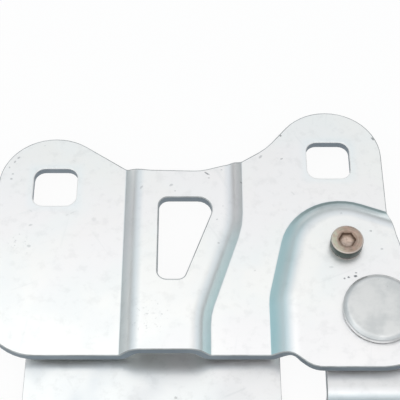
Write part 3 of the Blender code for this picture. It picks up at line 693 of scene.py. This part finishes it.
def turnedMaterial(name, look, axis):
    material, tree, shader, where = startMaterial(name)
    spot = where["Object"]
    rings = place(tree, turnedRings, Coordinate=spot, Axis=tuple(axis), Pitch=look["pitch"] * mm)
    clouds = place(tree, mottle, Coordinate=spot, Clouds=180.0, Grain=2600.0)
    pits = place(tree, specks, Coordinate=spot, Scale=1300.0, Size=0.2, Share=0.7)
    shade = math2(tree, "MULTIPLY", clouds["Cloud"], 0.7)
    shade = math2(tree, "ADD", shade, math2(tree, "MULTIPLY", rings["Height"], 0.2))
    colour = mixColour(tree, shade, look["face"], look["dull"])
    dark = tuple(0.45 * c for c in look["dull"])
    colour = mixColour(tree, math2(tree, "MULTIPLY", pits["Mask"], 0.7), colour, dark)
    link(tree, colour, shader.inputs["Base Color"])
    link(tree, spread(tree, shade, 0.0, 1.0, *look["roughness"]), shader.inputs["Roughness"])
    shader.inputs["Metallic"].default_value = look["metallic"]
    height = math2(tree, "ADD", math2(tree, "MULTIPLY", rings["Height"], 0.5), clouds["Fine"])
    addBump(tree, shader, height, 0.25, 0.03 * mm)
    return material


screwShape = {
    "head": 5.0, "headHigh": 3.2, "crown": 0.4, "socket": 4.7, "worn": 2.56, "mouth": 2.72, "depth": 1.7,
    "shank": 3.0, "pitch": 1.0, "thread": 0.38, "threadHigh": 5.0,
}

screwSteel = {
    "face": (0.62, 0.52, 0.435),
    "stain": (0.33, 0.235, 0.185),
    "olive": (0.56, 0.55, 0.435),
    "side": (0.03, 0.052, 0.047),
    "wall": (0.31, 0.225, 0.175),
    "blotch": (0.50, 0.335, 0.28),
    "floor": (0.66, 0.52, 0.44),
    # colour of the painted highlight on the head's rounded edge
    "rubbedAndHighlight": (0.66, 0.60, 0.56),
    "metallic": 0.8,
    "roughness": (0.30, 0.46),
    # lengths in mm
    "ringPitch": 0.8,
    "oliveRun": (1.0, -4.0),        # from the plain side to the olive side, along x
    "plainStain": 0.45,
    "socketIn": (0.02, 0.06),       # how far inside the mouth and below the face its colours start
    "floorReach": (2.0, 1.3),
    "blotchCover": (0.48, 0.62, 0.55),
    "burntRing": (3.8, 2.9, 0.85),  # outer and inner radius of the dark stain, and its share
    "burntRagged": 0.6,
    "edgeHighlightRing": (0.25, 0.3, 0.1),  # distance from the edge, and its outer and inner half width
    "edgeHighlightShare": 0.6,
}


def screwMaterial():
    material, tree, shader, where = startMaterial("burntScrewSteel")
    spot = where["Object"]
    clouds = place(tree, mottle, Coordinate=spot, Clouds=420.0, Grain=3200.0)
    pits = place(tree, specks, Coordinate=spot, Scale=1800.0, Size=0.22, Share=0.7)
    heat = noiseAt(tree, spot, 420.0, 1.0)
    pitch = screwSteel["ringPitch"] * mm
    rings = place(tree, turnedRings, Coordinate=spot, Axis=tuple(stopSpot), Pitch=pitch)
    rim = place(tree, cutEdge, Coordinate=spot, Normal=where["Normal"])
    worn = math2(tree, "MULTIPLY", spread(tree, rings["Uneven"], 0.4, 0.6), rings["Height"])
    shade = math2(tree, "MULTIPLY", clouds["Cloud"], 0.6)
    shade = math2(tree, "ADD", shade, math2(tree, "MULTIPLY", worn, 0.5))
    shade = math2(tree, "MAXIMUM", shade, pits["Mask"], True)
    colour = mixColour(tree, shade, screwSteel["face"], screwSteel["stain"])
    across = axes(tree, spot)
    plainSide, oliveSide = screwSteel["oliveRun"]
    nose = spread(tree, across["X"], stopSpot.x + plainSide * mm, stopSpot.x + oliveSide * mm)
    olive = math2(tree, "MULTIPLY", nose, spread(tree, heat, 0.3, 0.6))
    colour = mixColour(tree, olive, colour, screwSteel["olive"])
    # inside the socket the walls are painted darker brown, as shade in the recess, and the floor is coloured
    # lighter in patches
    reach = vectorMath(tree, "DISTANCE", flatDistance(tree, spot), (stopSpot.x, stopSpot.y, earsTop))
    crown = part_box("stop_screw")[1].z
    inside, below = screwSteel["socketIn"]
    socket = math2(tree, "LESS_THAN", reach, (screwShape["mouth"] - inside) * mm)
    socket = math2(tree, "MULTIPLY", socket, math2(tree, "LESS_THAN", across["Z"], crown - below * mm))
    outer, inner = screwSteel["floorReach"]
    floor = math2(tree, "MULTIPLY", socket, spread(tree, reach, outer * mm, inner * mm))
    patchy = noiseAt(tree, spot, 1500.0, 2.0, 0.6)
    floor = math2(tree, "MULTIPLY", floor, spread(tree, patchy, 0.3, 0.6, 0.55, 1.0))
    plain = math2(tree, "MULTIPLY", math2(tree, "SUBTRACT", 1.0, nose), screwSteel["plainStain"])
    colour = mixColour(tree, plain, colour, screwSteel["stain"])
    red = noiseAt(tree, spot, 750.0, 3.0, 0.6)
    low, high, share = screwSteel["blotchCover"]
    colour = mixColour(tree, spread(tree, red, low, high, 0.0, share), colour, screwSteel["blotch"])
    ragged = math2(tree, "MULTIPLY", red, screwSteel["burntRagged"] * mm)
    outer, inner, share = screwSteel["burntRing"]
    burnt = spread(tree, math2(tree, "ADD", reach, ragged), outer * mm, inner * mm, 0.0, share)
    colour = mixColour(tree, burnt, colour, screwSteel["stain"])
    # the head's side is darkened near black: partly its burnt finish, partly painted shade
    colour = mixColour(tree, math2(tree, "MULTIPLY", rim["Mask"], 0.95), colour, screwSteel["side"])
    # painted shade on the socket's walls
    colour = mixColour(tree, math2(tree, "MULTIPLY", socket, 0.8), colour, screwSteel["wall"])
    # a painted highlight: a bright ring on the head's rounded edge
    fromEdge, outer, inner = screwSteel["edgeHighlightRing"]
    ring = math2(tree, "SUBTRACT", reach, (screwShape["head"] - fromEdge) * mm)
    ring = spread(tree, math2(tree, "ABSOLUTE", ring), outer * mm, inner * mm)
    ring = math2(tree, "MULTIPLY", ring, math2(tree, "SUBTRACT", 1.0, rim["Mask"]))
    ring = math2(tree, "MULTIPLY", ring, screwSteel["edgeHighlightShare"])
    colour = mixColour(tree, ring, colour, screwSteel["rubbedAndHighlight"])
    colour = mixColour(tree, math2(tree, "MULTIPLY", floor, 0.9), colour, screwSteel["floor"])
    link(tree, colour, shader.inputs["Base Color"])
    link(tree, spread(tree, shade, 0.0, 1.0, *screwSteel["roughness"]), shader.inputs["Roughness"])
    shader.inputs["Metallic"].default_value = screwSteel["metallic"]
    relief = math2(tree, "ADD", rings["Height"], clouds["Fine"])
    relief = math2(tree, "MULTIPLY", relief, spread(tree, rim["Mask"], 0.0, 1.0, 1.0, 0.1))
    addBump(tree, shader, relief, 0.3, 0.02 * mm)
    return material


rubberLook = {"black": (0.018, 0.018, 0.019), "bloom": (0.055, 0.055, 0.056), "roughness": (0.55, 0.75)}


def rubberMaterial(name):
    material, tree, shader, where = startMaterial(name)
    spot = where["Object"]
    clouds = place(tree, mottle, Coordinate=spot, Clouds=300.0, Grain=4200.0)
    colour = mixColour(tree, clouds["Cloud"], rubberLook["black"], rubberLook["bloom"])
    link(tree, colour, shader.inputs["Base Color"])
    link(tree, spread(tree, clouds["Fine"], 0.0, 1.0, *rubberLook["roughness"]), shader.inputs["Roughness"])
    addBump(tree, shader, clouds["Fine"], 0.5, 0.05 * mm)
    return material


# the two pressed leaves: the frame's own shape, welded, with its edges broken

leafMesh = {
    "weld": 0.002 * mm, "flat": 0.4, "edgeAngle": 54.0, "edgeSteps": 3,
    "bonnet_plate": 0.5 * mm,   # widest break of an edge, on rims that face the bonnet
    "body_plate": 0.22 * mm,
    "least": 0.6,               # its share on the other rims
}


# the fold's end leaves one point standing in the relief notch of the body leaf: it goes back to the wall
strayPoint = {
    "from": Vector((18.46, -37.15, 0.23)) * mm,
    "to": Vector((17.45, -36.9, 0.15)) * mm,
    "reach": 0.35 * mm,
}


def pressedLeaf(name, node, material, edge):
    shape = bmesh.new()
    shape.from_mesh(frame["nodes"][node].data)
    bmesh.ops.remove_doubles(shape, verts=shape.verts, dist=leafMesh["weld"])
    bmesh.ops.dissolve_limit(
        shape, angle_limit=math.radians(leafMesh["flat"]), verts=shape.verts, edges=shape.edges
    )
    weights = shape.edges.layers.float.new("bevel_weight_edge")
    for line in shape.edges:
        if len(line.link_faces) != 2 or line.calc_face_angle(0) < math.radians(leafMesh["edgeAngle"]):
            continue
        rim = min(line.link_faces, key=lambda face: abs(face.normal.z))
        line[weights] = leafMesh["least"] + (1 - leafMesh["least"]) * max(0.0, rim.normal.y)
    mesh = bpy.data.meshes.new(name)
    shape.to_mesh(mesh)
    shape.free()
    mesh.shade_smooth()
    piece = addObject(name, mesh)
    bevel = piece.modifiers.new("brokenEdge", "BEVEL")
    bevel.width = leafMesh[node]
    bevel.segments = leafMesh["edgeSteps"]
    bevel.limit_method = "WEIGHT"
    bevel.use_clamp_overlap = False
    bevel.harden_normals = False
    bevel.material = 1
    mesh.materials.append(material)
    mesh.materials.append(edge)
    # the broken edges are made final here, and nothing of them stands out of the leaf's own box
    broken = bpy.data.meshes.new_from_object(piece.evaluated_get(bpy.context.evaluated_depsgraph_get()))
    piece.modifiers.remove(bevel)
    piece.data = broken
    broken.name = name
    low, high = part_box(node)
    for point in broken.vertices:
        if (point.co - strayPoint["from"]).length < strayPoint["reach"]:
            point.co = strayPoint["to"]
        point.co = [min(max(value, a), b) for value, a, b in zip(point.co, low, high)]
    normals = piece.modifiers.new("flatFaces", "WEIGHTED_NORMAL")
    normals.keep_sharp = True
    normals.weight = 90
    return piece


bodyOf = {node: body for body, nodes in frame["record"]["behaviour"]["bodies"].items() for node in nodes}


def stand(piece, node):
    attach(piece, bodyOf[node])
    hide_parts(node)


bonnetLeaf = pressedLeaf(
    "bonnetLeaf", "bonnet_plate",
    zincMaterial("bonnetZinc", bonnetZinc), edgeMaterial("bonnetEdge", bonnetZinc),
)
stand(bonnetLeaf, "bonnet_plate")
bodyLeaf = pressedLeaf(
    "bodyLeaf", "body_plate", zincMaterial("bodyZinc", bodyZinc), edgeMaterial("bodyEdge", bodyZinc),
)
stand(bodyLeaf, "body_plate")
print("leaves made")


# the small pieces: fine turned solids on the places of the frame's own

def filleted(corners, closed=False, steps=4):
    # a line through (radius, height, fillet) in millimetres
    line = []
    last = len(corners) - 1
    for index, (reach, height, fillet) in enumerate(corners):
        if fillet <= 0 or (not closed and index in (0, last)):
            line.append((reach, height))
            continue
        spot = Vector((reach, height))
        before = (Vector(corners[index - 1][:2]) - spot).normalized()
        after = (Vector(corners[(index + 1) % len(corners)][:2]) - spot).normalized()
        half = before.angle(after) / 2
        centre = spot + (before + after).normalized() * fillet / math.sin(half)
        first = spot + before * fillet / math.tan(half) - centre
        final = spot + after * fillet / math.tan(half) - centre
        start = math.atan2(first.y, first.x)
        turn = (math.atan2(final.y, final.x) - start + math.pi) % (2 * math.pi) - math.pi
        for step in range(steps + 1):
            angle = start + turn * step / steps
            line.append((centre.x + fillet * math.cos(angle), centre.y + fillet * math.sin(angle)))
    return line


def turnedSolid(name, axis, rows, closed=False, steps=96, sharp=38.0):
    # rows of (radius or a function of the angle, height) in millimetres above the hinge's foot
    shape = bmesh.new()
    rings = []
    for reach, height in rows:
        ring = []
        for step in range(steps):
            angle = 2 * math.pi * step / steps
            radius = reach(angle) if callable(reach) else reach
            if radius <= 0 and ring:
                continue
            x = axis.x + radius * mm * math.cos(angle)
            y = axis.y + radius * mm * math.sin(angle)
            ring.append(shape.verts.new((x, y, height * mm)))
        rings.append(ring)
    pairs = list(zip(rings, rings[1:] + rings[:1])) if closed else list(zip(rings, rings[1:]))
    for low, high in pairs:
        for step in range(steps):
            after = step + 1
            corners = [
                low[step % len(low)], low[after % len(low)], high[after % len(high)], high[step % len(high)],
            ]
            corners = list(dict.fromkeys(corners))
            if len(corners) > 2:
                shape.faces.new(corners)
    bmesh.ops.recalc_face_normals(shape, faces=shape.faces)
    mesh = bpy.data.meshes.new(name)
    shape.to_mesh(mesh)
    shape.free()
    mesh.shade_smooth()
    mesh.set_sharp_from_angle(angle=math.radians(sharp))
    piece = addObject(name, mesh)
    return piece


def heights(node):
    low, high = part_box(node)
    return low.z / mm, high.z / mm


def hexagon(acrossFlats, widest=99.0):
    def reach(angle):
        return min(acrossFlats / 2 / math.cos(angle % (math.pi / 3) - math.pi / 6), widest)
    return reach


def fit(piece, node, material):
    piece.data.materials.append(material)
    stand(piece, node)


rivetShape = {
    "head": 11.0, "headHigh": 2.5, "edge": 1.3, "pin": 5.0, "tail": 7.5, "tailHigh": 2.1, "dimple": 2.4,
}


def makeRivet():
    low, high = heights("pivot_rivet")
    s = rivetShape
    rows = filleted([
        (0, low + 0.45, 0), (s["dimple"], low + 0.3, 0.8), (s["dimple"] + 0.8, low, 0.3),
        (s["tail"] - 1.9, low, 1.2), (s["tail"], low + 1.0, 0.8), (s["tail"], low + s["tailHigh"], 0.1),
        (s["pin"], low + s["tailHigh"], 0), (s["pin"], high - s["headHigh"], 0),
        (s["head"], high - s["headHigh"], 0.2), (s["head"], high - 0.9, 0.5),
        (s["head"] - s["edge"], high, 2.0), (0, high, 0),
    ], steps=5)
    steel = turnedMaterial("rivetSteel", rivetSteel, pivotSpot)
    fit(turnedSolid("pivotRivet", pivotSpot, rows), "pivot_rivet", steel)


bushShape = {"bore": 5.3, "shank": 6.3, "flange": 12.0, "flangeHigh": 0.9}


def makeBush(name, node, flangeUp, material):
    low, high = heights(node)
    s = bushShape
    face, end = (high, low) if flangeUp else (low, high)
    inner = face - s["flangeHigh"] if flangeUp else face + s["flangeHigh"]
    rows = filleted([
        (s["bore"], face, 0.25), (s["flange"], face, 0.2), (s["flange"], inner, 0.2),
        (s["shank"], inner, 0.12), (s["shank"], end, 0.2), (s["bore"], end, 0.12),
    ], True)
    fit(turnedSolid(name, pivotSpot, rows, True), node, material)


def makeRing(name, node, axis, inner, outer, fillets, material, bulge=0.0):
    low, high = heights(node)
    innerFillet, outerFillet = fillets
    corners = [(inner, low, innerFillet), (outer - bulge, low, outerFillet)]
    if bulge:
        corners.append((outer, (low + high) / 2, bulge * 4))
    corners += [(outer - bulge, high, outerFillet), (inner, high, innerFillet)]
    fit(turnedSolid(name, axis, filleted(corners, True), True), node, material)


def makeScrew():
    low, high = heights("stop_screw")
    s = screwShape

    def threadAt(height):
        def reach(angle):
            along = (height / s["pitch"] - angle / (2 * math.pi)) % 1.0
            groove = s["thread"] * max(0.0, 1 - abs(along - 0.5) * 2.6)
            point = s["shank"] - 0.7 + (height - low)
            return min(s["shank"] - groove, point)
        return reach

    rows = [(0, low)]
    count = int(s["threadHigh"] / 0.1)
    rows += [(threadAt(low + 0.1 * step), low + 0.1 * step) for step in range(count + 1)]
    threadEnd = low + s["threadHigh"]
    rows += [(s["shank"] - s["thread"], threadEnd + 0.15), (s["shank"], threadEnd + 0.5)]
    under = high - s["headHigh"]
    rows += filleted([
        (s["shank"], threadEnd + 0.8, 0), (s["shank"], under, 0), (s["head"], under, 0.2),
        (s["head"], high, s["crown"]), (s["mouth"], high, 0),
    ])
    rows += [
        (hexagon(s["socket"] + 0.1, s["worn"] + 0.05), high - 0.12),
        (hexagon(s["socket"], s["worn"]), high - 0.3),
        (hexagon(s["socket"] - 0.15, s["worn"] - 0.08), high - 0.9),
        (hexagon(s["socket"] - 0.6, s["worn"] - 0.3), high - 1.2),
        (hexagon(s["socket"] - 1.2, s["worn"] - 0.6), high - 1.36),
        (1.1, high - 1.5),
        (0, high - s["depth"]),
    ]
    fit(turnedSolid("stopScrew", stopSpot, rows, sharp=30.0), "stop_screw", screwMaterial())


nutShape = {"bore": 3.3, "flats": 10.0, "corner": 4.7, "chamfer": 0.6, "flange": 6.25, "flangeHigh": 1.0}


def makeNut(material):
    low, high = heights("stop_nut")
    s = nutShape
    widest = s["flats"] / 2 / math.cos(math.pi / 6)
    rows = [(s["bore"], low + 0.45), (s["bore"] + 0.45, low), (s["corner"], low)]
    for step in range(1, 9):
        part = step / 8
        reach = s["corner"] + (widest - s["corner"]) * part
        rows.append((hexagon(s["flats"], reach), low + s["chamfer"] * part))
    foot = high - s["flangeHigh"]
    rows += [(hexagon(s["flats"]), foot - 0.1), (hexagon(s["flats"] + 0.3), foot)]
    rows += filleted([
        (widest + 0.1, foot + 0.1, 0), (s["flange"], foot + 0.35, 0.15), (s["flange"], high, 0.15),
        (s["bore"], high, 0),
    ])
    fit(turnedSolid("stopNut", stopSpot, rows, True, sharp=26.0), "stop_nut", material)


bufferShape = {"head": 6.0, "stem": 3.0, "neck": 2.6, "seat": 3.0}


def makeBuffer(material):
    low, high = heights("rest_buffer")
    s = bufferShape
    axis = middleOf("rest_buffer")
    seat = low + s["seat"]
    rows = filleted([
        (0, low, 0), (s["stem"] - 0.6, low, 0.3), (s["stem"], low + 0.8, 0.2), (s["neck"], low + 1.2, 0.15),
        (s["neck"], seat, 0.1), (s["head"], seat, 0.3), (s["head"], high - 0.2, 0.3),
        (s["head"] - 1.4, high, 1.0), (2.0, high, 0.3), (1.6, high - 0.35, 0.3), (0, high - 0.35, 0),
    ])
    fit(turnedSolid("restBuffer", axis, rows), "rest_buffer", material)


bronze = turnedMaterial("bushBronze", bushBronze, pivotSpot)
stopZinc = turnedMaterial("stopZinc", washerZinc, stopSpot)
rubber = rubberMaterial("mouldedRubber")
makeRivet()
makeBush("frontBush", "front_bush", True, bronze)
makeBush("rearBush", "rear_bush", False, bronze)
makeRing(
    "tailWasher", "tail_washer", pivotSpot, 5.3, 10.0, (0.12, 0.25),
    turnedMaterial("tailWasherZinc", washerZinc, pivotSpot),
)
makeScrew()
makeRing("stopSleeve", "stop_sleeve", stopSpot, 3.3, 4.8, (0.15, 0.25), stopZinc)
makeRing("stopRing", "stop_ring", stopSpot, 5.1, 7.0, (0.2, 0.45), rubber, 0.25)
makeNut(stopZinc)
makeBuffer(rubber)
print("small pieces made")


# studio

def makeFloor():
    size = studio["floorSize"] / 2
    mesh = bpy.data.meshes.new("floor")
    corners = [(-size, -size, 0), (size, -size, 0), (size, size, 0), (-size, size, 0)]
    mesh.from_pydata(corners, [], [(0, 1, 2, 3)])
    floor = addObject("floor", mesh)
    floor.location.z = cadBox[0].z - 0.02 * mm
    material = bpy.data.materials.new("paleFloor")
    tree = newTree(material)
    matt = addNode(tree, "ShaderNodeBsdfDiffuse")
    matt.inputs["Color"].default_value = (*studio["floorColour"], 1)
    white = addNode(tree, "ShaderNodeEmission")
    white.inputs["Strength"].default_value = 1.0
    seen = addNode(tree, "ShaderNodeLightPath")
    direct = math2(tree, "MAXIMUM", seen.outputs["Is Camera Ray"], seen.outputs["Is Glossy Ray"])
    direct = math2(tree, "MAXIMUM", direct, seen.outputs["Is Transmission Ray"])
    mix = addNode(tree, "ShaderNodeMixShader")
    link(tree, math2(tree, "MULTIPLY", direct, 1 - studio["floorShade"]), mix.inputs[0])
    link(tree, matt.outputs[0], mix.inputs[1])
    link(tree, white.outputs[0], mix.inputs[2])
    output = addNode(tree, "ShaderNodeOutputMaterial")
    link(tree, mix.outputs[0], output.inputs["Surface"])
    mesh.materials.append(material)


def makeWorld():
    world = bpy.data.worlds.new("paleStudio")
    bpy.context.scene.world = world
    world.use_nodes = True
    tree = world.node_tree
    tree.nodes.clear()
    where = addNode(tree, "ShaderNodeTexCoord")
    parts = axes(tree, where.outputs["Generated"])
    height = spread(tree, parts["Z"], -1.0, 1.0, smooth=False)
    side = spread(tree, parts["X"], -0.4, 0.6)
    low = spread(tree, parts["Z"], 0.62, 0.1)
    ramp = addNode(tree, "ShaderNodeValToRGB")
    while len(ramp.color_ramp.elements) < len(studio["skyStops"]):
        ramp.color_ramp.elements.new(0.5)
    for element, (spot, colour) in zip(ramp.color_ramp.elements, studio["skyStops"]):
        element.position = spot
        element.color = (*colour, 1)
    link(tree, height, ramp.inputs[0])
    seen = addNode(tree, "ShaderNodeLightPath")
    shade = math2(tree, "MULTIPLY", math2(tree, "MULTIPLY", side, low), studio["rightShade"])
    near = spread(tree, parts["X"], 0.03, 0.13, 1.0, 1.0 + studio["rightLift"])
    factor = math2(tree, "MULTIPLY", math2(tree, "SUBTRACT", 1.0, shade), near)
    scaled = addNode(tree, "ShaderNodeVectorMath", operation="SCALE")
    link(tree, ramp.outputs[0], scaled.inputs[0])
    link(tree, factor, scaled.inputs["Scale"])
    blue = vectorMath(tree, "MULTIPLY", scaled.outputs[0], studio["leftBlue"])
    left = spread(tree, parts["X"], -0.25, -0.45)
    colour = mixColour(tree, left, scaled.outputs[0], blue)
    colour = mixColour(tree, seen.outputs["Is Camera Ray"], colour, (1.0, 1.0, 1.0))
    sky = addNode(tree, "ShaderNodeBackground")
    link(tree, colour, sky.inputs["Color"])
    sky.inputs["Strength"].default_value = studio["worldStrength"]
    output = addNode(tree, "ShaderNodeOutputWorld")
    link(tree, sky.outputs[0], output.inputs["Surface"])


softBox = {"size": 1.2, "watts": 2.0, "spot": (-0.22, -0.19, 0.75)}


def makeLamp():
    data = bpy.data.lights.new("softBox", "AREA")
    data.shape = "DISK"
    data.size = softBox["size"]
    data.energy = softBox["watts"]
    lamp = addObject("softBox", data)
    lamp.location = softBox["spot"]
    lamp.rotation_euler = (-lamp.location).to_track_quat("-Z", "Y").to_euler()


def makeCamera():
    data = bpy.data.cameras.new("photoView")
    data.lens = view["lens"]
    data.sensor_width = view["sensor"]
    data.clip_start = 0.01
    data.clip_end = 20
    camera = addObject("photoView", data)
    target = Vector((stopSpot.x + view["fromStop"][0], stopSpot.y + view["fromStop"][1], earsTop))
    tilt = math.radians(view["elevation"])
    back = Vector((0, -math.cos(tilt), math.sin(tilt)))
    camera.location = target + back * view["distance"]
    camera.rotation_euler = (math.radians(90) - tilt, 0, 0)
    bpy.context.scene.camera = camera


makeFloor()
makeWorld()
makeLamp()
makeCamera()
bpy.context.scene.view_settings.view_transform = "Standard"
print("studio ready")

bpy.context.view_layer.update()
